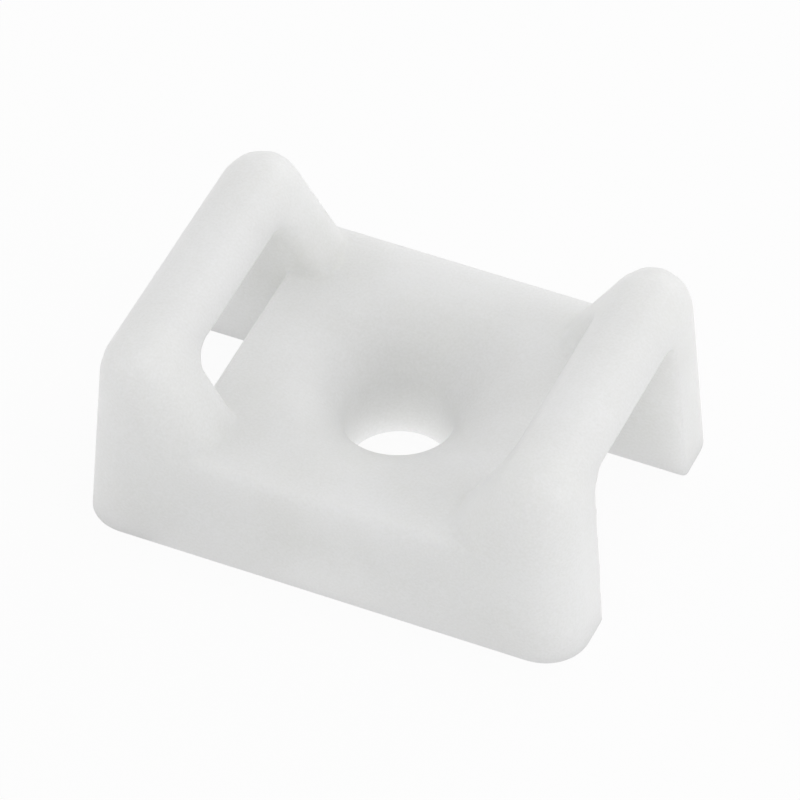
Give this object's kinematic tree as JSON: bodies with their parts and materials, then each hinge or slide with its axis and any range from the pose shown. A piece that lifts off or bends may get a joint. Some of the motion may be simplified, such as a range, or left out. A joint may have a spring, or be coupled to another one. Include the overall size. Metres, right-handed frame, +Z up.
{
  "type": "cable tie mount",
  "caption": "One-piece moulded saddle mount with a countersunk screw hole, raised end bars that a cable tie threads under, and a cradle between them for the bundle.",
  "frame": {"origin": "centre of the screw hole on the base plane, which is also the middle of the footprint", "axes": "+X along the tie's path from end to end, +Y along the bundle that lies in the cradle, +Z up from the mounting surface and along the screw hole"},
  "size_m": [0.022, 0.0156, 0.0092],
  "materials": {
    "nylon": "natural milky moulded nylon, slightly translucent, satin"
  },
  "bodies": {
    "root": {"mount": "nylon"}
  },
  "joints": []
}
